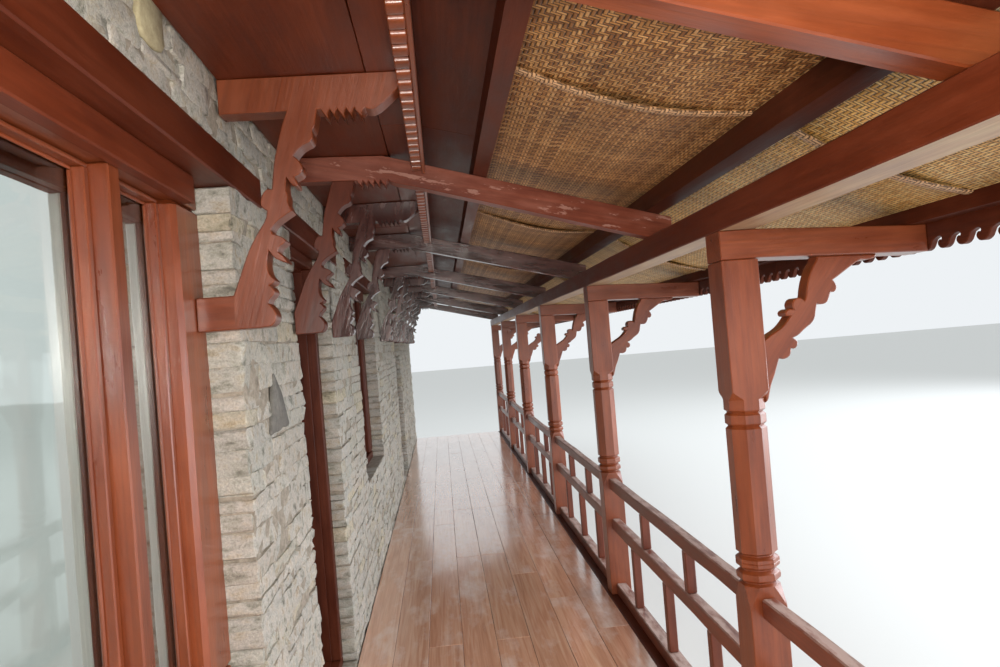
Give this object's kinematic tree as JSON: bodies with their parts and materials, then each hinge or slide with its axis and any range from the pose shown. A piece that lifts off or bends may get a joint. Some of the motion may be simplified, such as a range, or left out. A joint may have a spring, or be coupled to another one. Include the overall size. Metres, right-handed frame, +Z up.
{
  "type": "timber gallery of a traditional stone house",
  "caption": "Covered timber gallery along a dry-laid stone house wall, with carved brackets and posts, railing, plank floor and a woven-mat ceiling under a lean-to roof.",
  "frame": {"origin": "middle of the footprint at ground level", "axes": "+X out from the house wall to the eave, +Y along the gallery, +Z up"},
  "size_m": [2.86, 13.86, 3.35],
  "materials": {
    "stone": "dressed pale stone in thin courses",
    "painted_timber": "glossy red-brown paint",
    "dark_painted_timber": "dark red-brown paint",
    "floor_boards": "worn varnish",
    "woven_mat": "split bamboo, twill woven",
    "white_paint": "white paint",
    "glass": "clear sheet",
    "roof_sheet": "weathered galvanised sheet"
  },
  "bodies": {
    "root": {"stone_footing_wall": "stone", "stone_pier_1": "stone", "stone_pier_2": "stone", "stone_pier_3": "stone", "stone_pier_4": "stone", "stone_pier_5": "stone", "stone_wall_head": "stone", "window_1_lintel": "dark_painted_timber", "doorway_1_lintel": "dark_painted_timber", "window_2_lintel": "dark_painted_timber", "doorway_2_lintel": "dark_painted_timber", "window_1_frame": "painted_timber", "window_1_glass": "glass", "window_1_inner_frame": "white_paint", "window_2_frame": "painted_timber", "window_2_glass": "glass", "window_2_inner_frame": "white_paint", "doorway_1_frame": "dark_painted_timber", "doorway_2_frame": "dark_painted_timber", "roof_tie_1": "painted_timber", "short_bracket_1": "painted_timber", "short_bracket_2": "painted_timber", "short_bracket_3": "painted_timber", "short_bracket_4": "painted_timber", "short_bracket_5": "painted_timber", "short_bracket_6": "painted_timber", "long_bracket_1": "painted_timber", "long_bracket_2": "painted_timber", "long_bracket_3": "painted_timber", "long_bracket_4": "painted_timber", "long_bracket_5": "painted_timber", "long_bracket_6": "painted_timber", "stone_plinth": "stone", "floor_joists": "dark_painted_timber", "floor_boards": "floor_boards", "floor_edge_beam": "dark_painted_timber", "post_1": "painted_timber", "post_2": "painted_timber", "post_3": "painted_timber", "post_4": "painted_timber", "post_5": "painted_timber", "post_6": "painted_timber", "post_7": "painted_timber", "railing_bay_1": "painted_timber", "railing_bay_2": "painted_timber", "railing_bay_3": "painted_timber", "railing_bay_4": "painted_timber", "railing_bay_5": "painted_timber", "railing_bay_6": "painted_timber", "outer_wall_plate": "painted_timber", "inner_purlin": "dark_painted_timber", "outer_purlin": "dark_painted_timber", "roof_ledger": "dark_painted_timber", "soffit_boards": "dark_painted_timber", "dentil_fascia": "painted_timber", "lining_board": "dark_painted_timber", "woven_mats": "woven_mat", "roof_covering": "roof_sheet", "eave_fascia": "dark_painted_timber", "eave_purlin": "dark_painted_timber"}
  },
  "joints": []
}
